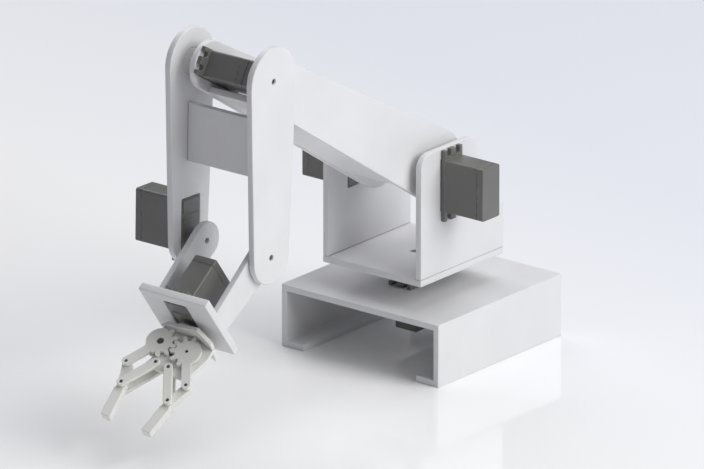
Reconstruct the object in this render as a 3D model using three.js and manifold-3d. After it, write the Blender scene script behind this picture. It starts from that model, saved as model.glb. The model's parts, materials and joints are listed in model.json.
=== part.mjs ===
// Desktop robot arm: a C-channel base, a turret, an upper arm, a forearm, a wrist bracket that
// pitches and rolls, and a geared parallel gripper, driven by seven servos.
// Millimetres. +X is the arm's right, +Y its back, +Z up. The base stands on Z = 0, and the origin
// is the middle of the whole arm's bounding box on the surface that it stands on.

import * as THREE from 'three';
import { mergeVertices } from 'three/addons/utils/BufferGeometryUtils.js';
import Module from 'manifold-3d';

const wasm = await Module();
wasm.setup();

// ---------------------------------------------------------------- driving dimensions

const PLATE = 5; // thickness of every white plate
const GAP = 0.3; // clearance between pieces that sit on each other
const CHAMFER = 0.5; // broken edge of plates
const CASE_CHAMFER = 0.35;
const LAYER_CHAMFER = 0.3; // broken edge of the gripper's flat pieces
const SMALL_CHAMFER = 0.2; // broken edge of pins and bosses
const WINDOW_CORNER = 1;
const OVERLAP = 0.5; // how far two pieces that are joined run into each other
const THROUGH = 1; // how far a cutting shape runs past the faces that it cuts
const WELD_DISTANCE = 1e-4;
const ARC_STEPS = 16; // straight steps in each large arc
const CORNER_STEPS = 2; // straight steps in each small corner
const BAR_STEPS = 8;
const NOTCH_STEPS = 4;
const FLANK_STEPS = 4; // straight steps along the side of a tooth
const HOLE_SIDES = 12;
const BOSS_SIDES = 20;
const DISC_SIDES = 24;

const BASE = { width: 146, depth: 145, height: 48, lip: 21 };
const TURRET = {
  width: 91, front: -58.5, back: 38.5, underside: 67,
  height: 100, corner: 11, topBack: 8.5, slopeStart: 105,
};
const SHOULDER = { y: -25, z: 149 };
const YAW_Y = -9;

const UPPER_ARM = { length: 228, tilt: 31, width: 58, centreX: 5.6, shoulderRadius: 27.5, elbowRadius: 18.5 };
const WEB = { start: 34, endBefore: 8, inset: 0.4 };
const FOREARM = { length: 132.4, lean: 1.34, width: 80, elbowRadius: 25.5, wristRadius: 20 };
const CROSS_PLATE = { start: 30, end: 74, front: -5 };
const WRIST = { pitch: 36, width: 59, centreX: 5, reach: 62.8, headRadius: 14, armWidth: 20 };
const FRONT_PLATE = { height: 57, thickness: 6, overhang: 2.8, windowWidth: 21, windowHalfHeight: 20.4 };
const ROLL_OFFSET = 10; // roll axis below the middle of the front plate

const STANDARD_SERVO = {
  width: 20, length: 40, shaftInset: 10, corner: 1.5,
  flangeLength: 54.4, flangeWidth: 20.5, flangeThickness: 3.4,
  below: 38, bottomCover: 5.5, above: 6.6, topCover: 5.2, bossHeight: 1.6, bossRadius: 6.6,
  notchOffset: 5, notchRadius: 2.2, notchDepth: 3.4,
};
const BASE_SERVO = { ...STANDARD_SERVO, above: 10, topCover: 8 };
const MICRO_SERVO = {
  width: 12.2, length: 22.8, shaftInset: 5.9, corner: 1,
  flangeLength: 32.2, flangeWidth: 11.6, flangeThickness: 2,
  below: 18, bottomCover: 0, above: 3, topCover: 2, bossHeight: 0.8, bossRadius: 4.6,
  notchOffset: 0, notchRadius: 1.1, notchDepth: 2.4,
};
const HORN = { radius: 9.8, thickness: 2.5, bossRadius: 3.4, rim: 0.3 };
const HORN_RECESS = 0.4; // elbow horn's inner face within its plate's
const SCREW_HOLE_RADIUS = 3; // where a plate shows the middle of a horn
const PIN_RADIUS = 1.9;
const PIN_RECESS = 1.5; // pin's end below the plate's outer face
const PIN_TAIL = 1; // how far a pin stands out on the inner side

const GRIPPER = {
  roll: 12.8, // turn about the roll axis, degrees
  reach: 26.5, // hubs ahead of the back of the front plate
  hubSpacing: 22.3, armLength: 28.6, armAngle: 30,
  linkPinX: 5.4, linkPinY: 16.6,
  barWidth: 6.6, plateLow: 1, plateThickness: 3, layer: 3.2, layerGap: 0.4,
  hubRadius: 10.8, teeth: 10, pressureAngle: 25, addendum: 0.78, backlash: 0.28,
  fingerLow: -2.6, fingerReach: 28, fingerWidth: 7.5, fingerLean: 5,
  jawStart: 4.1, neckStart: 1.55, neckWidth: 5.8, tipCorner: 1.2,
  pinRadius: 1.05, pinHole: 1.35, pinRecess: 0.4, splineHole: 2.7,
};
// The gripper's upright back wall, and the base plate's outline ahead of it.
const WALL = {
  front: -13.4, thickness: 3, turn: 3.6, corner: 1, left: -18.5, straightRight: 13.5, right: 26.5,
  below: 10.5, leftHeight: 6.5, peakX: 13.5, peakHeight: 17, rightHeight: 10.5,
};
const GRIPPER_PLATE = {
  leftRadius: 11.8, right: 27, corner: 1,
  shoulderY: -2, cornerX: 23.5, cornerY: 13, noseX: 14, frontMargin: 4,
};

// ---------------------------------------------------------------- materials

const WHITE = { color: 0xe9eaee, roughness: 0.45, metalness: 0 };
const WARM_WHITE = { color: 0xd9d6cd, roughness: 0.5, metalness: 0 };
const DARK = { color: 0x55554f, roughness: 0.5, metalness: 0 };
const STEEL = { color: 0x3c3c3c, roughness: 0.4, metalness: 0.8 };

// ---------------------------------------------------------------- shape helpers

const radians = (degrees) => (degrees * Math.PI) / 180;

function roundedRectangle(x0, y0, x1, y1, r) {
  const corners = [[x1 - r, y0 + r, 3], [x1 - r, y1 - r, 0], [x0 + r, y1 - r, 1], [x0 + r, y0 + r, 2]];
  const points = corners.flatMap(([x, y, quarter]) => Array.from({ length: CORNER_STEPS + 1 }, (_, i) => {
    const angle = (quarter + i / CORNER_STEPS) * (Math.PI / 2);
    return new THREE.Vector2(x + r * Math.cos(angle), y + r * Math.sin(angle));
  }));
  return new THREE.Shape(points);
}

// A bar with a round end of radius r0 at the origin and one of radius r1 at (length, 0).
function taperedBar(length, r0, r1) {
  const tangent = Math.acos((r0 - r1) / length);
  const shape = new THREE.Shape();
  shape.absarc(0, 0, r0, tangent, 2 * Math.PI - tangent, false);
  shape.absarc(length, 0, r1, -tangent, tangent, false);
  return shape;
}

function circlePoints(x, y, r, sides = HOLE_SIDES) {
  return Array.from({ length: sides }, (_, i) => {
    const angle = (2 * Math.PI * i) / sides;
    return new THREE.Vector2(x + r * Math.cos(angle), y + r * Math.sin(angle));
  });
}

const hole = (x, y, r, sides) => new THREE.Path(circlePoints(x, y, r, sides));

// A prism along +Z from low to low + thickness, with a small chamfer on both rims.
function prism(shape, low, thickness, chamfer = CHAMFER, steps = ARC_STEPS) {
  const geometry = new THREE.ExtrudeGeometry(shape, {
    depth: thickness - 2 * chamfer,
    curveSegments: steps,
    bevelEnabled: chamfer > 0,
    bevelThickness: chamfer,
    bevelSize: chamfer,
    bevelOffset: -chamfer,
    bevelSegments: 1,
  });
  return geometry.translate(0, 0, low + chamfer);
}

// Turns a prism so that its shape lies in the Y-Z plane and its thickness runs along X.
function alongX(geometry) {
  const x = new THREE.Vector3(0, 1, 0);
  const y = new THREE.Vector3(0, 0, 1);
  const z = new THREE.Vector3(1, 0, 0);
  return geometry.applyMatrix4(new THREE.Matrix4().makeBasis(x, y, z));
}

// Turns a prism so that its shape's axes are Z and X and its thickness runs along Y.
function alongY(geometry) {
  const x = new THREE.Vector3(0, 0, 1);
  const y = new THREE.Vector3(1, 0, 0);
  const z = new THREE.Vector3(0, 1, 0);
  return geometry.applyMatrix4(new THREE.Matrix4().makeBasis(x, y, z));
}

function toSolid(geometry) {
  const bare = geometry.clone();
  bare.deleteAttribute('normal');
  bare.deleteAttribute('uv');
  const merged = mergeVertices(bare, WELD_DISTANCE);
  const vertProperties = new Float32Array(merged.attributes.position.array);
  const triVerts = new Uint32Array(merged.index.array);
  return new wasm.Manifold(new wasm.Mesh({ numProp: 3, vertProperties, triVerts }));
}

function toGeometry(solid) {
  const mesh = solid.getMesh();
  const geometry = new THREE.BufferGeometry();
  geometry.setAttribute('position', new THREE.BufferAttribute(mesh.vertProperties, 3));
  geometry.setIndex(new THREE.BufferAttribute(mesh.triVerts, 1));
  geometry.computeVertexNormals();
  return geometry;
}

function join(first, ...others) {
  return toGeometry(others.reduce((sum, other) => sum.add(toSolid(other)), toSolid(first)));
}

function cut(first, ...others) {
  return toGeometry(others.reduce((rest, other) => rest.subtract(toSolid(other)), toSolid(first)));
}

function addPiece(group, name, geometry, look) {
  const mesh = new THREE.Mesh(geometry, new THREE.MeshStandardMaterial(look));
  mesh.name = name;
  group.add(mesh);
}

// A group whose local Y runs along `angle`, measured from +Y towards +Z, with X kept.
function linkFrame(parent, y, z, angle) {
  const group = new THREE.Group();
  group.position.set(0, y, z);
  group.rotation.x = radians(angle);
  parent.add(group);
  return group;
}

function pin(radius, low, high) {
  return prism(new THREE.Shape(circlePoints(0, 0, radius)), low, high - low, SMALL_CHAMFER);
}

// ---------------------------------------------------------------- servo

// In the servo's frame the shaft is on Z, the flange's upper face is at Z = 0, and the case runs
// from the shaft towards -Y.
function servoFlange(s) {
  const high = (s.flangeLength - s.length) / 2 + s.shaftInset;
  const low = high - s.flangeLength;
  const half = s.flangeWidth / 2;
  const offsets = s.notchOffset > 0 ? [-s.notchOffset, s.notchOffset] : [0];
  const shape = new THREE.Shape();
  shape.moveTo(-half, low);
  for (const x of offsets) {
    shape.lineTo(x - s.notchRadius, low);
    shape.lineTo(x - s.notchRadius, low + s.notchDepth);
    shape.absarc(x, low + s.notchDepth, s.notchRadius, Math.PI, 0, true);
    shape.lineTo(x + s.notchRadius, low);
  }
  shape.lineTo(half, low);
  shape.lineTo(half, high);
  for (const x of offsets.toReversed()) {
    shape.lineTo(x + s.notchRadius, high);
    shape.lineTo(x + s.notchRadius, high - s.notchDepth);
    shape.absarc(x, high - s.notchDepth, s.notchRadius, 0, -Math.PI, true);
    shape.lineTo(x - s.notchRadius, high);
  }
  shape.lineTo(-half, high);
  return prism(shape, -s.flangeThickness, s.flangeThickness, 0, NOTCH_STEPS);
}

function servoBlock(s, low, high) {
  const shape = roundedRectangle(-s.width / 2, s.shaftInset - s.length, s.width / 2, s.shaftInset, s.corner);
  return prism(shape, low, high - low, CASE_CHAMFER);
}

function hornDisc(hornLow, gapFrom) {
  const { radius, thickness, bossRadius, rim } = HORN;
  const top = hornLow + thickness;
  const profile = [
    [0, gapFrom],
    [bossRadius, gapFrom],
    [bossRadius, hornLow],
    [radius, hornLow],
    [radius, top - rim],
    [radius - rim, top],
    [0, top],
  ].map(([r, z]) => new THREE.Vector2(r, z));
  return new THREE.LatheGeometry(profile, DISC_SIDES).rotateX(Math.PI / 2);
}

// Adds a servo with its shaft along `shaft` and its case running away from `head`.
// hornLow is the height of the horn disc above the flange; without it the servo has no horn.
function addServo(parent, name, s, origin, head, shaft, hornLow) {
  const z = new THREE.Vector3(...shaft);
  const y = new THREE.Vector3(...head);
  const x = new THREE.Vector3().crossVectors(y, z);
  const group = new THREE.Group();
  group.quaternion.setFromRotationMatrix(new THREE.Matrix4().makeBasis(x, y, z));
  group.position.set(...origin);
  parent.add(group);

  const caseLow = s.bottomCover > 0 ? s.bottomCover - s.below + GAP : -s.below;
  const caseHigh = s.above - s.topCover;
  const coverTop = s.above - s.bossHeight;
  addPiece(group, `${name}_case`, join(servoBlock(s, caseLow, caseHigh), servoFlange(s)), DARK);
  const cap = servoBlock(s, caseHigh + GAP, coverTop);
  const bossLow = coverTop - OVERLAP;
  const bossShape = new THREE.Shape(circlePoints(0, 0, s.bossRadius, BOSS_SIDES));
  const boss = prism(bossShape, bossLow, s.above - bossLow, SMALL_CHAMFER);
  addPiece(group, `${name}_top_cover`, join(cap, boss), DARK);
  if (s.bottomCover > 0) {
    addPiece(group, `${name}_bottom_cover`, servoBlock(s, -s.below, s.bottomCover - s.below), DARK);
  }
  if (hornLow !== undefined) {
    addPiece(group, `${name}_horn`, hornDisc(hornLow, s.above + GAP), WARM_WHITE);
  }
}

// ---------------------------------------------------------------- base

function addBase(parent) {
  const { width, depth, height, lip } = BASE;
  const half = width / 2;
  const section = new THREE.Shape();
  section.moveTo(-half, 0);
  section.lineTo(-half, height);
  section.lineTo(half, height);
  section.lineTo(half, 0);
  section.lineTo(half - lip, 0);
  section.lineTo(half - lip, PLATE);
  section.lineTo(half - PLATE, PLATE);
  section.lineTo(half - PLATE, height - PLATE);
  section.lineTo(PLATE - half, height - PLATE);
  section.lineTo(PLATE - half, PLATE);
  section.lineTo(lip - half, PLATE);
  section.lineTo(lip - half, 0);
  // The section is drawn as (X, Z); turned upright, its thickness runs along +Y.
  const channel = prism(section, -depth / 2, depth).rotateX(Math.PI / 2);
  const s = BASE_SERVO;
  const windowShape = roundedRectangle(
    -s.width / 2 - GAP, YAW_Y - s.shaftInset - GAP,
    s.width / 2 + GAP, YAW_Y - s.shaftInset + s.length + GAP, WINDOW_CORNER,
  );
  const opening = prism(windowShape, height - 2 * PLATE, 3 * PLATE, 0);
  addPiece(parent, 'base_channel', cut(channel, opening), WHITE);

  const flangeTop = height + GAP + s.flangeThickness;
  const hornLow = TURRET.underside - GAP - HORN.thickness - flangeTop;
  addServo(parent, 'base_servo', s, [0, YAW_Y, flangeTop], [0, -1, 0], [0, 0, 1], hornLow);
}

// ---------------------------------------------------------------- turret

function turretSideShape() {
  const { front, back, underside, height, corner, topBack, slopeStart } = TURRET;
  const top = underside + height;
  const bottom = underside + PLATE + GAP;
  const shape = new THREE.Shape();
  shape.moveTo(front, bottom);
  shape.lineTo(back, bottom);
  shape.lineTo(back, slopeStart);
  shape.lineTo(topBack, top - corner);
  shape.absarc(topBack - corner, top - corner, corner, 0, Math.PI / 2, false);
  shape.lineTo(front + corner, top);
  shape.absarc(front + corner, top - corner, corner, Math.PI / 2, Math.PI, false);
  const s = STANDARD_SERVO;
  shape.holes.push(roundedRectangle(
    SHOULDER.y - s.width / 2 - GAP, SHOULDER.z + s.shaftInset - s.length - GAP,
    SHOULDER.y + s.width / 2 + GAP, SHOULDER.z + s.shaftInset + GAP, WINDOW_CORNER,
  ));
  return shape;
}

function addTurret(parent) {
  const { width, front, back, underside } = TURRET;
  const half = width / 2;
  const floor = roundedRectangle(-half, front, half, back, CHAMFER);
  floor.holes.push(hole(0, YAW_Y, SCREW_HOLE_RADIUS));
  addPiece(parent, 'turret_floor', prism(floor, underside, PLATE), WHITE);
  addPiece(parent, 'turret_left_plate', alongX(prism(turretSideShape(), -half, PLATE)), WHITE);
  addPiece(parent, 'turret_right_plate', alongX(prism(turretSideShape(), half - PLATE, PLATE)), WHITE);

  for (const [name, side] of [['left', -1], ['right', 1]]) {
    const armFace = UPPER_ARM.width / 2 + side * UPPER_ARM.centreX;
    const hornLow = half + GAP - armFace - GAP - HORN.thickness;
    const origin = [side * (half + GAP), SHOULDER.y, SHOULDER.z];
    addServo(parent, `${name}_shoulder_servo`, STANDARD_SERVO, origin, [0, 0, 1], [-side, 0, 0], hornLow);
  }
}

// ---------------------------------------------------------------- upper arm

function upperArmPlate(cutOut) {
  const { length, shoulderRadius, elbowRadius } = UPPER_ARM;
  const shape = taperedBar(length, shoulderRadius, elbowRadius);
  shape.holes.push(hole(0, 0, SCREW_HOLE_RADIUS), cutOut);
  return shape;
}

function addUpperArm(parent) {
  const { length, width, centreX, shoulderRadius, elbowRadius } = UPPER_ARM;
  const half = width / 2;
  const s = STANDARD_SERVO;
  const arm = linkFrame(parent, SHOULDER.y, SHOULDER.z, 180 - UPPER_ARM.tilt);
  arm.position.x = centreX;
  const servoWindow = roundedRectangle(
    length + s.shaftInset - s.length - GAP, -s.width / 2 - GAP,
    length + s.shaftInset + GAP, s.width / 2 + GAP, WINDOW_CORNER,
  );
  const left = prism(upperArmPlate(servoWindow), -half, PLATE);
  const right = prism(upperArmPlate(hole(length, 0, PIN_RADIUS + GAP)), half - PLATE, PLATE);
  addPiece(arm, 'upper_arm_left_plate', alongX(left), WHITE);
  addPiece(arm, 'upper_arm_right_plate', alongX(right), WHITE);

  // The web follows the plates' lower edge, clear of both round ends.
  const slope = Math.asin((shoulderRadius - elbowRadius) / length);
  const inner = half - PLATE - GAP;
  const webShape = roundedRectangle(-inner, WEB.start, inner, length - WEB.endBefore, CHAMFER);
  const web = prism(webShape, shoulderRadius - PLATE - WEB.inset, PLATE).rotateX(-slope);
  addPiece(arm, 'upper_arm_web', web, WHITE);

  const flangeX = -half + PLATE + GAP;
  const hornLow = centreX + flangeX + FOREARM.width / 2 - PLATE + HORN_RECESS;
  addServo(arm, 'elbow_servo', s, [flangeX, length, 0], [0, 1, 0], [-1, 0, 0], hornLow);

  const blockShape = roundedRectangle(
    length + s.shaftInset - s.length, -s.width / 2, length + s.shaftInset, s.width / 2, s.corner,
  );
  blockShape.holes.push(hole(length, 0, PIN_RADIUS + GAP));
  const blockLow = flangeX + s.below + GAP;
  const block = prism(blockShape, blockLow, inner - blockLow);
  addPiece(arm, 'elbow_idler_block', alongX(block), DARK);
  const elbowPin = pin(PIN_RADIUS, blockLow + GAP, FOREARM.width / 2 - centreX - PIN_RECESS);
  addPiece(arm, 'elbow_pin', alongX(elbowPin).translate(0, length, 0), STEEL);
}

// ---------------------------------------------------------------- forearm

function elbowPoint() {
  const tilt = radians(UPPER_ARM.tilt);
  return {
    y: SHOULDER.y - UPPER_ARM.length * Math.cos(tilt),
    z: SHOULDER.z + UPPER_ARM.length * Math.sin(tilt),
  };
}

function addForearm(parent) {
  const { length, width, lean, elbowRadius, wristRadius } = FOREARM;
  const half = width / 2;
  const s = STANDARD_SERVO;
  const elbow = elbowPoint();
  const arm = linkFrame(parent, elbow.y, elbow.z, -90 - lean);

  const leftShape = taperedBar(length, elbowRadius, wristRadius);
  leftShape.holes.push(hole(0, 0, HORN.radius + GAP, DISC_SIDES), roundedRectangle(
    length + s.shaftInset - s.length - GAP, -s.width / 2 - GAP,
    length + s.shaftInset + GAP, s.width / 2 + GAP, WINDOW_CORNER,
  ));
  const rightShape = taperedBar(length, elbowRadius, wristRadius);
  rightShape.holes.push(hole(0, 0, PIN_RADIUS + GAP), hole(length, 0, PIN_RADIUS + GAP));
  addPiece(arm, 'forearm_left_plate', alongX(prism(leftShape, -half, PLATE)), WHITE);
  addPiece(arm, 'forearm_right_plate', alongX(prism(rightShape, half - PLATE, PLATE)), WHITE);

  const inner = half - PLATE - GAP;
  const { start, end, front } = CROSS_PLATE;
  const cross = prism(roundedRectangle(-inner, start, inner, end, CHAMFER), front, PLATE);
  addPiece(arm, 'forearm_cross_plate', cross, WHITE);

  const flangeX = -half - GAP;
  const wristLeft = WRIST.centreX - WRIST.width / 2;
  const hornLow = wristLeft - GAP - HORN.thickness - flangeX;
  addServo(arm, 'wrist_servo', s, [flangeX, length, 0], [0, 1, 0], [1, 0, 0], hornLow);
}

// ---------------------------------------------------------------- wrist bracket

function wristPoint() {
  const elbow = elbowPoint();
  const lean = radians(FOREARM.lean);
  return {
    y: elbow.y - FOREARM.length * Math.sin(lean),
    z: elbow.z - FOREARM.length * Math.cos(lean),
  };
}

function wristArmShape() {
  const { reach, headRadius, armWidth } = WRIST;
  const half = armWidth / 2;
  const end = reach - GAP;
  const slope = Math.asin((headRadius - half) / reach);
  const shape = new THREE.Shape();
  shape.absarc(0, 0, headRadius, Math.PI / 2 - slope, 1.5 * Math.PI + slope, false);
  shape.lineTo(end, -half);
  shape.lineTo(end, half);
  shape.holes.push(hole(0, 0, PIN_RADIUS + GAP));
  return shape;
}

function addWrist(parent) {
  const { pitch, width, centreX, reach } = WRIST;
  const wrist = wristPoint();
  const frame = linkFrame(parent, wrist.y, wrist.z, 180 + pitch);
  const left = centreX - width / 2;
  const right = centreX + width / 2;
  addPiece(frame, 'wrist_left_arm', alongX(prism(wristArmShape(), left, PLATE)), WHITE);
  addPiece(frame, 'wrist_right_arm', alongX(prism(wristArmShape(), right - PLATE, PLATE)), WHITE);

  const { height, thickness, overhang, windowWidth, windowHalfHeight } = FRONT_PLATE;
  const plate = roundedRectangle(-height / 2, left, height / 2, right + overhang, CHAMFER);
  plate.holes.push(roundedRectangle(
    -windowHalfHeight, centreX - windowWidth / 2,
    windowHalfHeight, centreX + windowWidth / 2, WINDOW_CORNER,
  ));
  addPiece(frame, 'wrist_front_plate', alongY(prism(plate, reach, thickness)), WHITE);

  const wristPin = alongX(pin(PIN_RADIUS, right - PLATE - PIN_TAIL, FOREARM.width / 2 - PIN_RECESS));
  addPiece(frame, 'wrist_pin', wristPin, STEEL);

  const flangeY = reach - GAP;
  const wallBack = reach + GRIPPER.reach + WALL.front - WALL.thickness;
  const hornLow = wallBack - GAP - HORN.thickness - flangeY;
  const origin = [centreX, flangeY, ROLL_OFFSET];
  addServo(frame, 'roll_servo', STANDARD_SERVO, origin, [0, 0, 1], [0, 1, 0], hornLow);
  return frame;
}

// ---------------------------------------------------------------- gripper

// The gripper's frame has X across the jaws, Y forward along the roll axis and Z towards its
// underside. Its layers are given by their height, which runs along -Z.
function layerPrism(shape, low, thickness, chamfer = LAYER_CHAMFER, steps = BAR_STEPS) {
  return prism(shape, -low - thickness, thickness, chamfer, steps);
}

const PLATE_TOP = GRIPPER.plateLow + GRIPPER.plateThickness;
const UPPER_LAYER = PLATE_TOP + GRIPPER.layerGap;
const UPPER_TOP = UPPER_LAYER + GRIPPER.layer;
const LOWER_LAYER = GRIPPER.fingerLow - GRIPPER.layerGap - GRIPPER.layer;

function sidePoints(side) {
  const angle = radians(GRIPPER.armAngle);
  const outX = GRIPPER.armLength * Math.sin(angle) * side;
  const forward = GRIPPER.armLength * Math.cos(angle);
  const hub = new THREE.Vector2((side * GRIPPER.hubSpacing) / 2, 0);
  const linkPin = new THREE.Vector2(side * GRIPPER.linkPinX, GRIPPER.linkPinY);
  const swing = new THREE.Vector2(outX, forward);
  return { hub, linkPin, armEnd: hub.clone().add(swing), linkEnd: linkPin.clone().add(swing) };
}

// Moves a shape drawn from the origin along +X so that it starts at `from` and points at `to`.
function aimed(geometry, from, to) {
  const turn = Math.atan2(to.y - from.y, to.x - from.x);
  return geometry.rotateZ(turn).translate(from.x, from.y, 0);
}

// Outline points of one involute tooth about the angle `middle`, from its left root to its right.
function toothPoints(middle) {
  const { hubSpacing, teeth, addendum, backlash } = GRIPPER;
  const pressure = radians(GRIPPER.pressureAngle);
  const pitchRadius = hubSpacing / 2;
  const module = hubSpacing / teeth;
  const tipRadius = pitchRadius + addendum * module;
  const rootRadius = pitchRadius - module;
  const baseRadius = pitchRadius * Math.cos(pressure);
  const halfPitchAngle = (Math.PI / teeth - backlash / pitchRadius) / 2;
  const involute = (a) => Math.tan(a) - a;
  const flank = [];
  for (let i = 0; i <= FLANK_STEPS; i += 1) {
    const r = baseRadius + ((tipRadius - baseRadius) * i) / FLANK_STEPS;
    const half = halfPitchAngle + involute(pressure) - involute(Math.acos(baseRadius / r));
    flank.push([r, half]);
  }
  flank.unshift([rootRadius, flank[0][1]]);
  const at = (r, a) => new THREE.Vector2(r * Math.cos(a), r * Math.sin(a));
  const rising = flank.map(([r, half]) => at(r, middle - half));
  const falling = flank.toReversed().map(([r, half]) => at(r, middle + half));
  return [...rising, ...falling];
}

// The geared hub: a round body with teeth about `toothAngles`, in increasing order.
function gearShape(toothAngles, holeRadius) {
  const toothHalf = Math.PI / GRIPPER.teeth;
  const firstEdge = toothAngles[0] - toothHalf;
  const lastEdge = toothAngles[toothAngles.length - 1] + toothHalf;
  const points = toothAngles.flatMap(toothPoints);
  const radius = GRIPPER.hubRadius;
  const sweep = 2 * Math.PI - (lastEdge - firstEdge);
  for (let i = 0; i <= ARC_STEPS; i += 1) {
    const angle = lastEdge + (sweep * i) / ARC_STEPS;
    points.push(new THREE.Vector2(radius * Math.cos(angle), radius * Math.sin(angle)));
  }
  const shape = new THREE.Shape(points);
  shape.holes.push(hole(0, 0, holeRadius));
  return shape;
}

function gearArm(side, holeRadius) {
  const { hub, armEnd } = sidePoints(side);
  const pitch = (2 * Math.PI) / GRIPPER.teeth;
  // The left gear has a tooth towards the other hub, and the right gear a gap.
  const facing = side < 0 ? 0 : Math.PI;
  const count = side < 0 ? 5 : 6;
  const angles = Array.from({ length: count }, (_, i) => facing + (i - (count - 1) / 2) * pitch);
  const gear = layerPrism(gearShape(angles, holeRadius), UPPER_LAYER, GRIPPER.layer, 0)
    .translate(hub.x, hub.y, 0);
  const half = GRIPPER.barWidth / 2;
  const reach = GRIPPER.armLength;
  const barStart = GRIPPER.hubRadius / 2;
  const barShape = new THREE.Shape();
  barShape.moveTo(barStart, half);
  barShape.lineTo(barStart, -half);
  barShape.lineTo(reach, -half);
  barShape.absarc(reach, 0, half, -Math.PI / 2, Math.PI / 2, false);
  const bar = aimed(layerPrism(barShape, UPPER_LAYER, GRIPPER.layer, 0), hub, armEnd);
  const boreShape = new THREE.Shape(circlePoints(armEnd.x, armEnd.y, GRIPPER.pinHole));
  const bore = layerPrism(boreShape, UPPER_LAYER - THROUGH, GRIPPER.layer + 2 * THROUGH, 0);
  return toGeometry(toSolid(gear).add(toSolid(bar)).subtract(toSolid(bore)));
}

function linkBar(side, low) {
  const { linkPin, linkEnd } = sidePoints(side);
  const half = GRIPPER.barWidth / 2;
  const shape = taperedBar(GRIPPER.armLength, half, half);
  shape.holes.push(hole(0, 0, GRIPPER.pinHole), hole(GRIPPER.armLength, 0, GRIPPER.pinHole));
  return aimed(layerPrism(shape, low, GRIPPER.layer), linkPin, linkEnd);
}

// The knuckle lies between the two bars of the link, and the jaw runs on ahead of it.
function finger(side) {
  const { armEnd, linkEnd } = sidePoints(side);
  const { barWidth, pinHole, fingerLow, fingerReach, fingerWidth, fingerLean } = GRIPPER;
  const { jawStart, neckStart, neckWidth, tipCorner } = GRIPPER;
  const half = barWidth / 2;
  const thickness = PLATE_TOP - fingerLow;
  const knuckleLength = armEnd.distanceTo(linkEnd);
  const knuckleShape = taperedBar(knuckleLength, half, half);
  knuckleShape.holes.push(hole(0, 0, pinHole), hole(knuckleLength, 0, pinHole));
  const knuckle = aimed(layerPrism(knuckleShape, fingerLow, thickness, 0), armEnd, linkEnd);

  const { x, y } = linkEnd;
  const lean = -side * fingerReach * Math.tan(radians(fingerLean));
  const edge = fingerWidth / 2;
  const start = y + jawStart;
  const tip = y + fingerReach;
  const jawShape = new THREE.Shape();
  jawShape.moveTo(x - edge, start);
  jawShape.lineTo(x + edge, start);
  jawShape.lineTo(x + edge + lean, tip - tipCorner);
  jawShape.quadraticCurveTo(x + edge + lean, tip, x + edge + lean - tipCorner, tip);
  jawShape.lineTo(x - edge + lean + tipCorner, tip);
  jawShape.quadraticCurveTo(x - edge + lean, tip, x - edge + lean, tip - tipCorner);
  const jaw = layerPrism(jawShape, fingerLow, thickness, LAYER_CHAMFER, CORNER_STEPS);
  const neckShape = roundedRectangle(
    x - neckWidth / 2, y + neckStart, x + neckWidth / 2, start + OVERLAP, SMALL_CHAMFER,
  );
  const neck = layerPrism(neckShape, fingerLow, thickness, 0);
  return join(knuckle, neck, jaw);
}

// A round left end about the left hub, a straight back, and a square front on the right.
function basePlateShape() {
  const { leftRadius, right, corner, shoulderY, cornerX, cornerY, noseX, frontMargin } = GRIPPER_PLATE;
  const { linkPinX, linkPinY, pinHole } = GRIPPER;
  const hubX = -GRIPPER.hubSpacing / 2;
  const back = WALL.front + GAP;
  const front = linkPinY + frontMargin;
  const shape = new THREE.Shape();
  shape.absarc(hubX, 0, leftRadius, Math.PI / 2, 1.5 * Math.PI, false);
  shape.lineTo(0, back);
  shape.lineTo(right - corner, back);
  shape.lineTo(right, back + corner);
  shape.lineTo(right, shoulderY);
  shape.lineTo(cornerX, cornerY);
  shape.quadraticCurveTo(cornerX - corner, front, noseX, front);
  shape.lineTo(-noseX, front);
  const s = MICRO_SERVO;
  shape.holes.push(roundedRectangle(
    hubX - s.shaftInset - GAP, -s.width / 2 - GAP,
    hubX - s.shaftInset + s.length + GAP, s.width / 2 + GAP, WINDOW_CORNER,
  ));
  shape.holes.push(hole(-hubX, 0, pinHole));
  for (const side of [-1, 1]) {
    shape.holes.push(hole(side * linkPinX, linkPinY, pinHole));
  }
  return shape;
}

// The wall's plan: straight behind the hubs, turned forward at both ends. The roll servo's horn
// bolts to its back.
function wallShape() {
  const { front, thickness, turn, corner, left, straightRight, right } = WALL;
  const back = front - thickness;
  const shape = new THREE.Shape();
  shape.moveTo(left + turn, back);
  shape.lineTo(straightRight, back);
  shape.lineTo(right, back + turn);
  shape.lineTo(right, front + turn);
  shape.lineTo(right - corner, front + turn);
  shape.lineTo(straightRight - corner, front);
  shape.lineTo(left + turn + corner, front);
  shape.lineTo(left + thickness, front + turn / 2);
  shape.lineTo(left, back + turn);
  return shape;
}

// Everything above the wall's upper edge, which rises from the left to a peak and falls again.
function aboveWall() {
  const { left, right, leftHeight, peakX, peakHeight, rightHeight } = WALL;
  const over = peakHeight + THROUGH;
  const shape = new THREE.Shape();
  shape.moveTo(-leftHeight, left - THROUGH);
  shape.lineTo(-peakHeight, peakX);
  shape.lineTo(-rightHeight, right + THROUGH);
  shape.lineTo(-over, right + THROUGH);
  shape.lineTo(-over, left - THROUGH);
  return alongY(prism(shape, WALL.front - WALL.thickness - THROUGH, -WALL.front, 0));
}

function gripperPin(x, y, low, high) {
  return pin(GRIPPER.pinRadius, -high, -low).translate(x, y, 0);
}

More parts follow.
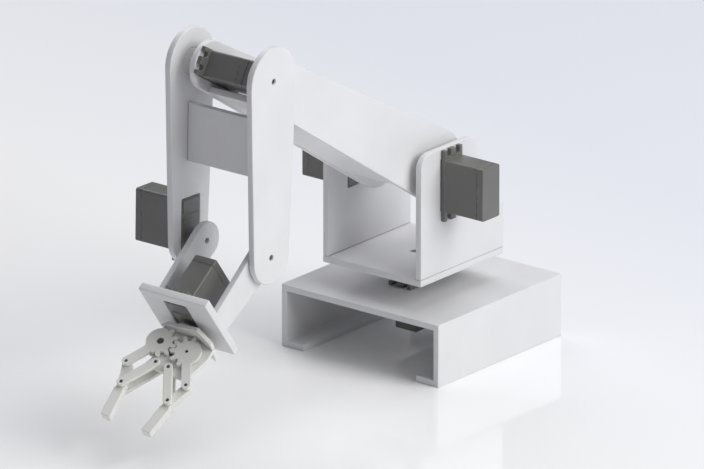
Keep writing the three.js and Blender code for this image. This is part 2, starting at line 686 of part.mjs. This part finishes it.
function addGripper(wristFrame) {
  const frame = new THREE.Group();
  frame.position.set(WRIST.centreX, WRIST.reach + GRIPPER.reach, ROLL_OFFSET);
  frame.rotation.y = -radians(GRIPPER.roll);
  wristFrame.add(frame);

  // The wall's plan is drawn in X and Y, and stands along Z about the roll axis.
  const wall = prism(wallShape(), -WALL.peakHeight, WALL.peakHeight + WALL.below, LAYER_CHAMFER);
  const plateSlot = prism(
    roundedRectangle(-GRIPPER.hubSpacing, WALL.front - GAP, WALL.right + THROUGH, 0, SMALL_CHAMFER),
    -PLATE_TOP - GAP, GRIPPER.plateThickness + 2 * GAP, 0,
  );
  addPiece(frame, 'gripper_back_plate', cut(wall, plateSlot, aboveWall()), WARM_WHITE);
  const basePlate = layerPrism(basePlateShape(), GRIPPER.plateLow, GRIPPER.plateThickness);
  addPiece(frame, 'gripper_base_plate', basePlate, WARM_WHITE);

  const { pinRecess, plateLow, splineHole, pinHole } = GRIPPER;
  const hubX = GRIPPER.hubSpacing / 2;
  const flangeHeight = plateLow - GAP;
  addServo(frame, 'gripper_servo', MICRO_SERVO, [-hubX, 0, -flangeHeight], [-1, 0, 0], [0, 0, -1]);
  const splineLow = flangeHeight + MICRO_SERVO.above + GAP;
  const spline = pin(splineHole - GAP, -UPPER_TOP + GAP, -splineLow).translate(-hubX, 0, 0);
  addPiece(frame, 'gripper_servo_spline', spline, STEEL);

  const pinTop = UPPER_TOP - pinRecess;
  const lowPinStart = LOWER_LAYER + pinRecess;
  addPiece(frame, 'left_gear_arm', gearArm(-1, splineHole), WARM_WHITE);
  addPiece(frame, 'right_gear_arm', gearArm(1, pinHole), WARM_WHITE);
  addPiece(frame, 'right_hub_pin', gripperPin(hubX, 0, plateLow + pinRecess, pinTop), STEEL);
  for (const [name, side] of [['left', -1], ['right', 1]]) {
    const { linkPin, armEnd, linkEnd } = sidePoints(side);
    const linkBase = gripperPin(linkPin.x, linkPin.y, lowPinStart, pinTop);
    const linkTip = gripperPin(linkEnd.x, linkEnd.y, lowPinStart, pinTop);
    const armTip = gripperPin(armEnd.x, armEnd.y, GRIPPER.fingerLow + pinRecess, pinTop);
    addPiece(frame, `${name}_link_upper_bar`, linkBar(side, UPPER_LAYER), WARM_WHITE);
    addPiece(frame, `${name}_link_lower_bar`, linkBar(side, LOWER_LAYER), WARM_WHITE);
    addPiece(frame, `${name}_finger`, finger(side), WARM_WHITE);
    addPiece(frame, `${name}_link_base_pin`, linkBase, STEEL);
    addPiece(frame, `${name}_link_end_pin`, linkTip, STEEL);
    addPiece(frame, `${name}_arm_end_pin`, armTip, STEEL);
  }
}

// ---------------------------------------------------------------- assembly

function makeRobotArm() {
  const model = new THREE.Group();
  addBase(model);
  addTurret(model);
  addUpperArm(model);
  addForearm(model);
  addGripper(addWrist(model));

  model.updateMatrixWorld(true);
  const middle = new THREE.Box3().setFromObject(model, true).getCenter(new THREE.Vector3());
  model.position.set(-middle.x, -middle.y, 0);
  return model;
}

export default makeRobotArm();
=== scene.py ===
"""Desktop robot arm: looks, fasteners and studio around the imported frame. Metres, +Z up."""
import json
import math

import bmesh
import bpy
from mathutils import Matrix, Vector


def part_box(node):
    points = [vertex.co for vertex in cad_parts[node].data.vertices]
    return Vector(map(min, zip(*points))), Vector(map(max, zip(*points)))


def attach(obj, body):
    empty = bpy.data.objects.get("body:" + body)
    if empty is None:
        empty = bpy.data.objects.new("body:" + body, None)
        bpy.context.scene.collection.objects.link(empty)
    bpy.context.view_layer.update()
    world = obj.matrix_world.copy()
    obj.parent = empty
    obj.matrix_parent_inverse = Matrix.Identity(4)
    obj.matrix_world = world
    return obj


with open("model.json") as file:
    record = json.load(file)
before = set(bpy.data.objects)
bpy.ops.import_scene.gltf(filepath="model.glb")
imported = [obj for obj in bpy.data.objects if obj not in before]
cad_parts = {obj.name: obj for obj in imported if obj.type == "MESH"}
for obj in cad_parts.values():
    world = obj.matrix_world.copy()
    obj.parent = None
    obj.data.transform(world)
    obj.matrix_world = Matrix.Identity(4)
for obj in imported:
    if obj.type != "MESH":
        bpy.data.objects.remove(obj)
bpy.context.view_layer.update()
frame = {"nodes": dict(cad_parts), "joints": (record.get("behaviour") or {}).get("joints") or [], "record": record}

NODES = frame["nodes"]
JOINTS = {joint["name"]: joint for joint in frame["joints"]}
SLOT_OF = {part["node"]: part["material_slot"] for part in frame["record"]["subparts"]}
MM = 0.001


# ---------------------------------------------------------------- camera, light and floor

CAMERA_AZIMUTH = 38.66
CAMERA_ELEVATION = 19.3
CAMERA_DISTANCE = 12.0
PIXELS_PER_METRE = 1380.0
IMAGE_WIDTH = 704
SENSOR = 36.0
CLIP_END = 100
AIM_AHEAD_OF_BASE = 0.0089
AIM_HEIGHT = 0.1043

WORLD_COLOUR = (0.92, 0.93, 1.0, 1)
WORLD_STRENGTH = 0.26
# (name, azimuth, elevation, distance in metres, size in metres, power in watts, colour)
LIGHTS = (
    ("key_right", 98, 30, 3.0, 2.6, 64, (1.0, 1.0, 0.99)),
    ("top_back", 150, 72, 2.6, 2.0, 27, (0.98, 0.98, 1.0)),
    ("back_left", 245, 42, 3.0, 2.4, 27, (0.99, 0.99, 1.0)),
)
FLOOR_SIZE = 60


def direction(azimuth, elevation):
    """The unit vector towards a camera or light at that azimuth and elevation, in degrees."""
    a = math.radians(azimuth)
    e = math.radians(elevation)
    return Vector((math.sin(a) * math.cos(e), -math.cos(a) * math.cos(e), math.sin(e)))


def aim_point():
    """The place that the camera and the lights look at, in front of the base."""
    base_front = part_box("base_channel")[0][1]
    return Vector((0, base_front - AIM_AHEAD_OF_BASE, AIM_HEIGHT))


def aim(holder, away, distance):
    """Puts a camera or light at a distance from the aim point, looking back at it."""
    holder.location = aim_point() + away * distance
    holder.rotation_euler = (-away).to_track_quat("-Z", "Y").to_euler()
    bpy.context.scene.collection.objects.link(holder)


def add_camera():
    camera = bpy.data.cameras.new("camera")
    camera.sensor_width = SENSOR
    camera.lens = PIXELS_PER_METRE * SENSOR / IMAGE_WIDTH * CAMERA_DISTANCE
    camera.clip_end = CLIP_END
    holder = bpy.data.objects.new("camera", camera)
    aim(holder, direction(CAMERA_AZIMUTH, CAMERA_ELEVATION), CAMERA_DISTANCE)
    bpy.context.scene.camera = holder


def add_area_light(name, azimuth, elevation, distance, size, power, colour):
    light = bpy.data.lights.new(name, "AREA")
    light.shape = "DISK"
    light.size = size
    light.energy = power
    light.color = colour
    aim(bpy.data.objects.new(name, light), direction(azimuth, elevation), distance)


def add_world():
    world = bpy.data.worlds.new("studio")
    bpy.context.scene.world = world
    world.use_nodes = True
    background = world.node_tree.nodes["Background"]
    background.inputs["Color"].default_value = WORLD_COLOUR
    background.inputs["Strength"].default_value = WORLD_STRENGTH


def add_lights():
    for light in LIGHTS:
        add_area_light(*light)


def add_floor():
    bpy.ops.mesh.primitive_plane_add(size=FLOOR_SIZE, location=(0, 0, 0))
    floor = bpy.context.object
    floor.name = "studio_floor"
    floor.data.materials.append(floor_material())


# ---------------------------------------------------------------- node helpers

# The dot product of the rounded normal and the true one, on a flat and on a fully coloured edge
FLAT_MATCH = 0.98
EDGE_MATCH = 0.75
EDGE_SAMPLES = 4


class Graph:
    """A short way to write a material's nodes."""

    def __init__(self, name):
        self.material = bpy.data.materials.new(name)
        self.material.use_nodes = True
        self.tree = self.material.node_tree
        self.shader = self.tree.nodes["Principled BSDF"]
        self.place = self.node("ShaderNodeTexCoord").outputs["Object"]

    def node(self, kind, **settings):
        made = self.tree.nodes.new(kind)
        for key, value in settings.items():
            setattr(made, key, value)
        return made

    def link(self, source, target):
        self.tree.links.new(source, target)

    def noise(self, scale, detail=3.0, roughness=0.5):
        noise = self.node("ShaderNodeTexNoise")
        noise.inputs["Scale"].default_value = scale
        noise.inputs["Detail"].default_value = detail
        noise.inputs["Roughness"].default_value = roughness
        self.link(self.place, noise.inputs["Vector"])
        return noise.outputs["Fac"]

    def ramp(self, value, low, high, low_out=0.0, high_out=1.0):
        """The value carried from low..high to low_out..high_out, and held at the ends."""
        remap = self.node("ShaderNodeMapRange")
        remap.inputs["From Min"].default_value = low
        remap.inputs["From Max"].default_value = high
        remap.inputs["To Min"].default_value = low_out
        remap.inputs["To Max"].default_value = high_out
        self.link(value, remap.inputs["Value"])
        return remap.outputs["Result"]

    def multiply(self, a, b):
        product = self.node("ShaderNodeMath", operation="MULTIPLY")
        self.link(a, product.inputs[0])
        self.link(b, product.inputs[1])
        return product.outputs["Value"]

    def mix(self, factor, colour_a, colour_b):
        """Colour A where the factor is 0 and colour B where it is 1; each is a tuple or a socket."""
        mix = self.node("ShaderNodeMix", data_type="RGBA")
        self.link(factor, mix.inputs["Factor"])
        for value, socket in ((colour_a, mix.inputs["A"]), (colour_b, mix.inputs["B"])):
            if isinstance(value, tuple):
                socket.default_value = (*value, 1)
            else:
                self.link(value, socket)
        return mix.outputs["Result"]

    def edge_mask(self, radius):
        """About 1 on convex and concave edges, 0 on flats."""
        bevel = self.node("ShaderNodeBevel", samples=EDGE_SAMPLES)
        bevel.inputs["Radius"].default_value = radius
        geometry = self.node("ShaderNodeNewGeometry")
        dot = self.node("ShaderNodeVectorMath", operation="DOT_PRODUCT")
        self.link(bevel.outputs["Normal"], dot.inputs[0])
        self.link(geometry.outputs["Normal"], dot.inputs[1])
        return self.ramp(dot.outputs["Value"], FLAT_MATCH, EDGE_MATCH)

    def bump(self, height, strength, distance):
        bump = self.node("ShaderNodeBump")
        bump.inputs["Strength"].default_value = strength
        bump.inputs["Distance"].default_value = distance
        self.link(height, bump.inputs["Height"])
        self.link(bump.outputs["Normal"], self.shader.inputs["Normal"])


# ---------------------------------------------------------------- materials

SMUDGE = 0.06
COAT_ROUGHNESS = 0.35
GRAIN_STRENGTH = 0.12
GRAIN_DEPTH = 0.0002


def moulded_material(name, colour, tint, edge_wear_and_highlight_colour, roughness, grain, edge_radius, coat=0.0):
    """Satin moulded or painted surface: faint mottling, fine grain, and edges in another colour in noisy patches:
    darker scuffs on the base paint, lighter edges on the white plastics, a painted highlight on the dark servo
    plastic.
    """
    graph = Graph(name)
    mottle = graph.ramp(graph.noise(scale=22, detail=4), 0.35, 0.65)
    body = graph.mix(mottle, colour, tint)
    # Edge colour in noisy patches: scuffs on the base paint, a painted highlight on the servo plastic.
    scuff_and_highlight_patches = graph.ramp(graph.noise(scale=180, detail=5, roughness=0.7), 0.42, 0.62)
    wear_and_highlight = graph.multiply(graph.edge_mask(edge_radius), scuff_and_highlight_patches)
    graph.link(graph.mix(wear_and_highlight, body, edge_wear_and_highlight_colour), graph.shader.inputs["Base Color"])
    handling = graph.noise(scale=40, detail=3, roughness=0.6)
    smudges = graph.ramp(handling, 0.3, 0.7, roughness - SMUDGE, roughness + SMUDGE)
    graph.link(smudges, graph.shader.inputs["Roughness"])
    graph.shader.inputs["Coat Weight"].default_value = coat
    graph.shader.inputs["Coat Roughness"].default_value = COAT_ROUGHNESS
    graph.bump(graph.noise(scale=grain, detail=2), GRAIN_STRENGTH, GRAIN_DEPTH)
    return graph.material


def white_plastic():
    return moulded_material(
        "white_plate", (0.72, 0.72, 0.73), (0.69, 0.69, 0.70), (0.78, 0.78, 0.78),
        roughness=0.42, grain=1500, edge_radius=0.0006)


def base_paint():
    return moulded_material(
        "base_paint", (0.73, 0.73, 0.74), (0.70, 0.70, 0.71), (0.62, 0.62, 0.63),
        roughness=0.34, grain=900, edge_radius=0.0008, coat=0.15)


def gripper_plastic():
    return moulded_material(
        "gripper_plastic", (0.76, 0.76, 0.72), (0.72, 0.72, 0.68), (0.82, 0.82, 0.80),
        roughness=0.36, grain=1200, edge_radius=0.0004)


def horn_plastic():
    return moulded_material(
        "horn_plastic", (0.76, 0.76, 0.73), (0.72, 0.72, 0.69), (0.82, 0.82, 0.80),
        roughness=0.34, grain=1200, edge_radius=0.0004)


def servo_plastic():
    # The edge colour, far lighter than the case, is a painted highlight along the case's edges.
    return moulded_material(
        "servo_plastic", (0.155, 0.155, 0.145), (0.135, 0.135, 0.127), (0.55, 0.55, 0.52),
        roughness=0.34, grain=1100, edge_radius=0.0007)


def pin_steel():
    """Dark steel with fine spots and an uneven shine."""
    colour = (0.16, 0.16, 0.165)
    darker = tuple(0.7 * channel for channel in colour)
    smooth, rough = 0.27, 0.45
    graph = Graph("pin_steel")
    spots = graph.ramp(graph.noise(scale=500, detail=4, roughness=0.6), 0.35, 0.7)
    graph.link(graph.mix(spots, colour, darker), graph.shader.inputs["Base Color"])
    shine = graph.ramp(graph.noise(scale=900, detail=3), 0.3, 0.7, smooth, rough)
    graph.link(shine, graph.shader.inputs["Roughness"])
    graph.shader.inputs["Metallic"].default_value = 1.0
    graph.bump(graph.noise(scale=1600, detail=2), strength=0.15, distance=0.0001)
    return graph.material


def floor_material():
    """A pale glossy floor with painted shade: it turns slightly darker and cool behind the arm's right side."""
    toward_back_right = (0.31, 0.89, 0)
    # Painted shade: the floor darkens to a cool grey towards the back right.
    painted_shade_colour = (0.84, 0.86, 0.92)
    shade_start, shade_end = 0.10, 0.45
    smooth, rough = 0.06, 0.09
    graph = Graph("studio_floor")
    across = graph.node("ShaderNodeVectorMath", operation="DOT_PRODUCT")
    graph.link(graph.place, across.inputs[0])
    across.inputs[1].default_value = toward_back_right
    painted_shade = graph.ramp(across.outputs["Value"], shade_start, shade_end)
    mottle = graph.ramp(graph.noise(scale=0.8, detail=2), 0.3, 0.7)
    near = graph.mix(mottle, (0.97, 0.97, 0.97), (0.955, 0.955, 0.96))
    graph.link(graph.mix(painted_shade, near, painted_shade_colour), graph.shader.inputs["Base Color"])
    shine = graph.ramp(graph.noise(scale=3, detail=2), 0.3, 0.7, smooth, rough)
    graph.link(shine, graph.shader.inputs["Roughness"])
    graph.shader.inputs["Specular IOR Level"].default_value = 0.4
    return graph.material


MATERIALS = {
    "base_steel": base_paint(),
    "white_plastic": white_plastic(),
    "gripper_plastic": gripper_plastic(),
    "horn_plastic": horn_plastic(),
    "servo_plastic": servo_plastic(),
    "pin_steel": pin_steel(),
}


# ---------------------------------------------------------------- CAD nodes

# Widths of the rounding in millimetres, for the slots that differ and for the others
SOFT_EDGES = {"base_steel": 0.35, "servo_plastic": 0.3}
SOFT_EDGE = 0.2
SOFT_EDGE_SEGMENTS = 2
SHARP_ANGLE = 50
WELD_DISTANCE = 1e-6


def finish_node(name, node):
    """Gives a CAD node its material and soft edges; its own mesh stays as packed."""
    node.data.materials.clear()
    node.data.materials.append(MATERIALS[SLOT_OF[name]])
    node.data.polygons.foreach_set("use_smooth", [True] * len(node.data.polygons))
    weld = node.modifiers.new("weld", "WELD")
    weld.merge_threshold = WELD_DISTANCE
    bevel = node.modifiers.new("soft_edge", "BEVEL")
    bevel.width = SOFT_EDGES.get(SLOT_OF[name], SOFT_EDGE) * MM
    bevel.segments = SOFT_EDGE_SEGMENTS
    bevel.limit_method = "ANGLE"
    bevel.angle_limit = math.radians(SHARP_ANGLE)
    node.modifiers.new("flat_faces", "WEIGHTED_NORMAL")


# ---------------------------------------------------------------- mesh helpers, in millimetres

RING_SIDES = 28
SCREW_SIDES = 24
SCREW_RIM = 0.25
SOCKET_WIDTH = 0.45
SOCKET_FLOOR_WIDTH = 0.9
SOCKET_DEPTH = 0.6


def add_piece(name, mesh, matrix, slot, body):
    """Links a mesh that was drawn in millimetres, in the frame that the matrix gives."""
    bmesh.ops.recalc_face_normals(mesh, faces=mesh.faces)
    data = bpy.data.meshes.new(name)
    mesh.to_mesh(data)
    mesh.free()
    data.transform(matrix)
    data.materials.append(MATERIALS[slot])
    piece = bpy.data.objects.new(name, data)
    bpy.context.scene.collection.objects.link(piece)
    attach(piece, body)


def skin(mesh, lower, upper):
    """Faces between two closed loops of as many points."""
    for i in range(len(lower)):
        j = (i + 1) % len(lower)
        mesh.faces.new((lower[i], lower[j], upper[j], upper[i]))


def circle(mesh, centre, radius, height, sides):
    """A closed loop of points about a centre, at one height."""
    points = []
    for i in range(sides):
        angle = 2 * math.pi * i / sides
        x = centre[0] + radius * math.cos(angle)
        y = centre[1] + radius * math.sin(angle)
        points.append(mesh.verts.new((x, y, height)))
    return points


def turned(profile, sides, centre=(0, 0)):
    """A solid of (radius, height) points turned about Z, with a flat at each end."""
    mesh = bmesh.new()
    rings = [circle(mesh, centre, radius, height, sides) for radius, height in profile]
    for lower, upper in zip(rings, rings[1:]):
        skin(mesh, lower, upper)
    mesh.faces.new(rings[0])
    mesh.faces.new(rings[-1])
    return mesh


def tube(inner, outer, low, high, rim):
    """A ring about Z whose outer edges are broken by `rim`."""
    mesh = bmesh.new()
    profile = ((inner, low), (outer - rim, low), (outer, low + rim),
               (outer, high - rim), (outer - rim, high), (inner, high))
    rings = [circle(mesh, (0, 0), radius, height, RING_SIDES) for radius, height in profile]
    for lower, upper in zip(rings, rings[1:] + rings[:1]):
        skin(mesh, lower, upper)
    return mesh


def slab(x_half, y_low, y_high, low, high, rim):
    """A flat block whose upper edges and upright corners are broken by `rim`."""
    mesh = bmesh.new()

    def outline(inset, height):
        x = x_half - inset
        y0 = y_low + inset
        y1 = y_high - inset
        points = ((-x + rim, y0), (x - rim, y0), (x, y0 + rim), (x, y1 - rim),
                  (x - rim, y1), (-x + rim, y1), (-x, y1 - rim), (-x, y0 + rim))
        return [mesh.verts.new((px, py, height)) for px, py in points]

    levels = [outline(0, low), outline(0, high - rim), outline(rim, high)]
    for lower, upper in zip(levels, levels[1:]):
        skin(mesh, lower, upper)
    mesh.faces.new(levels[0])
    mesh.faces.new(levels[-1])
    return mesh


def screw_head(radius, low, height, centre=(0, 0)):
    """A flat head with a round socket, whose sizes are shares of the head's radius and height."""
    socket = SOCKET_WIDTH * radius
    top = low + height
    profile = ((radius, low), (radius, top - SCREW_RIM), (radius - SCREW_RIM, top),
               (socket, top), (SOCKET_FLOOR_WIDTH * socket, top - SOCKET_DEPTH * height))
    return turned(profile, SCREW_SIDES, centre)


# ---------------------------------------------------------------- where the CAD nodes are

def middle(name):
    """The middle of a CAD node's box, in metres."""
    low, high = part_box(name)
    return (Vector(low) + Vector(high)) / 2


def span(name, axis):
    """The lowest and highest place of a CAD node along an axis, in metres."""
    places = [vertex.co.dot(axis) for vertex in NODES[name].data.vertices]
    return min(places), max(places)


def joint_axis(joint, start, end):
    """The joint's axis, turned so that it runs from the node `start` towards the node `end`."""
    axis = Vector(JOINTS[joint]["axis"]).normalized()
    if (middle(end) - middle(start)).dot(axis) < 0:
        axis.negate()
    return axis


def placing(origin, ahead, up):
    """The matrix from a frame in millimetres, with Y ahead and Z up, to the row frame."""
    axes = Matrix((ahead.cross(up), ahead, up)).transposed().to_4x4()
    return Matrix.Translation(origin) @ axes @ Matrix.Scale(MM, 4)


# ---------------------------------------------------------------- servo details

# A servo's own frame, in millimetres: the shaft is on Z, the flange's upper face is at Z = 0,
# and the case runs from Y = HEAD_REACH down to Y = -TAIL_REACH.
CASE_HALF_WIDTH = 10.0
HEAD_REACH = 10.0
TAIL_REACH = 30.0
CASE_TOP = 1.4
BASE_CASE_TOP = 2.0
COVER_TOP = 5.0
SEAM = 0.3
SHELL_INSET = 0.3
SHELL_RIM = 0.05
PLAY = 0.03

BAND_INSET = 0.8
BAND_RIM = 0.4
# What stands out on a cover that shows through a window: (name, lowest Y, highest Y, height)
COVER_BANDS = (("far_band", -28.6, -19.5, 0.9), ("rib", -17.5, -12.0, 0.6))

# servo: (joint that it drives, body that holds it, body of its horn, height of its case's top)
SERVOS = {
    "base_servo": ("base_yaw", "base", "turret", BASE_CASE_TOP),
    "left_shoulder_servo": ("shoulder", "turret", "upper_arm", CASE_TOP),
    "right_shoulder_servo": ("shoulder", "turret", "upper_arm", CASE_TOP),
    "elbow_servo": ("elbow", "upper_arm", "forearm", CASE_TOP),
    "wrist_servo": ("wrist_pitch", "forearm", "wrist", CASE_TOP),
    "roll_servo": ("wrist_roll", "wrist", "gripper", CASE_TOP),
}
SERVOS_IN_WINDOWS = ("wrist_servo", "roll_servo")

# servo: (radius, height) of the screw in the middle of its horn
HORN_SCREWS = {
    "base_servo": (2.6, 1.2),
    "left_shoulder_servo": (2.6, 1.2),
    "right_shoulder_servo": (2.6, 1.2),
    "elbow_servo": (2.6, 1.4),
    "wrist_servo": (1.8, 1.0),
}
RIM_SCREWS = 4
RIM_SCREW_CIRCLE = 6.6
RIM_SCREW_SIZE = (1.4, 0.9)


def servo_frame(servo):
    """The servo's frame: its shaft points at its horn, and its case runs away from its head."""
    joint, _, _, case_top = SERVOS[servo]
    case = f"{servo}_case"
    shaft = joint_axis(joint, case, f"{servo}_horn")
    on_axis = Vector(JOINTS[joint]["pos_m"])
    beside = middle(case) - on_axis
    beside -= shaft * beside.dot(shaft)
    rise = span(case, shaft)[1] - case_top * MM - on_axis.dot(shaft)
    return placing(on_axis + shaft * rise, -beside.normalized(), shaft)


def local_top(name, matrix):
    """The highest place of a CAD node along a frame's Z, in that frame's millimetres."""
    up = matrix.to_3x3().col[2].normalized()
    return (span(name, up)[1] - matrix.translation.dot(up)) / MM


def add_seam_shells(servo):
    """What shows inside the two seams of a case is a plain inner shell."""
    matrix = servo_frame(servo)
    _, holder, _, case_top = SERVOS[servo]
    for label, low in (("top", case_top), ("bottom", local_top(f"{servo}_bottom_cover", matrix))):
        shell = slab(CASE_HALF_WIDTH - SHELL_INSET, SHELL_INSET - TAIL_REACH,
                     HEAD_REACH - SHELL_INSET, low + PLAY, low + SEAM - PLAY, SHELL_RIM)
        add_piece(f"{servo}_{label}_seam", shell, matrix, "servo_plastic", holder)


def add_cover_bands(servo):
    """The raised band and rib on a cover that shows through a window."""
    matrix = servo_frame(servo)
    holder = SERVOS[servo][1]
    for label, y_low, y_high, height in COVER_BANDS:
        band = slab(CASE_HALF_WIDTH - BAND_INSET, y_low, y_high,
                    COVER_TOP + PLAY, COVER_TOP + height, BAND_RIM)
        add_piece(f"{servo}_{label}", band, matrix, "servo_plastic", holder)


def add_horn_screw(servo, name, size, centre=(0, 0)):
    """A screw that sits on the servo's horn and turns with it."""
    matrix = servo_frame(servo)
    radius, height = size
    head = screw_head(radius, local_top(f"{servo}_horn", matrix) + PLAY, height, centre)
    add_piece(name, head, matrix, "pin_steel", SERVOS[servo][2])


def add_servo_details():
    for servo in SERVOS:
        add_seam_shells(servo)
    for servo in SERVOS_IN_WINDOWS:
        add_cover_bands(servo)
    for servo, size in HORN_SCREWS.items():
        add_horn_screw(servo, f"{servo}_horn_screw", size)
    for i in range(RIM_SCREWS):
        angle = 2 * math.pi * (i + 0.5) / RIM_SCREWS
        centre = (RIM_SCREW_CIRCLE * math.cos(angle), RIM_SCREW_CIRCLE * math.sin(angle))
        add_horn_screw("elbow_servo", f"elbow_horn_rim_screw_{i + 1}", RIM_SCREW_SIZE, centre)


# ---------------------------------------------------------------- gripper details

SPACER_INNER = 1.35
SPACER_OUTER = 2.7
SPACER_RIM = 0.2
SPACER_GAP_BELOW = 0.15
SPACER_GAP_ABOVE = 0.05


def add_link_spacers():
    """Rings round the link pins, between the lower bars and the gripper's base plate."""
    up = joint_axis("grip_drive", "gripper_servo_case", "left_gear_arm")
    ahead = joint_axis("wrist_roll", "gripper_back_plate", "left_finger")
    plate_underside = span("gripper_base_plate", up)[0]
    for side in ("left", "right"):
        pin = middle(f"{side}_link_base_pin")
        bar_top = span(f"{side}_link_lower_bar", up)[1]
        matrix = placing(pin + up * (bar_top - pin.dot(up)), ahead, up)
        gap = (plate_underside - bar_top) / MM
        ring = tube(SPACER_INNER, SPACER_OUTER, SPACER_GAP_BELOW, gap - SPACER_GAP_ABOVE, SPACER_RIM)
        add_piece(f"{side}_link_spacer", ring, matrix, "gripper_plastic", "gripper")


# ---------------------------------------------------------------- the studio and the arm

add_camera()
add_world()
add_lights()
add_floor()
for node_name, node_object in NODES.items():
    finish_node(node_name, node_object)
add_servo_details()
add_link_spacers()

scene = bpy.context.scene
scene.view_settings.view_transform = "Standard"
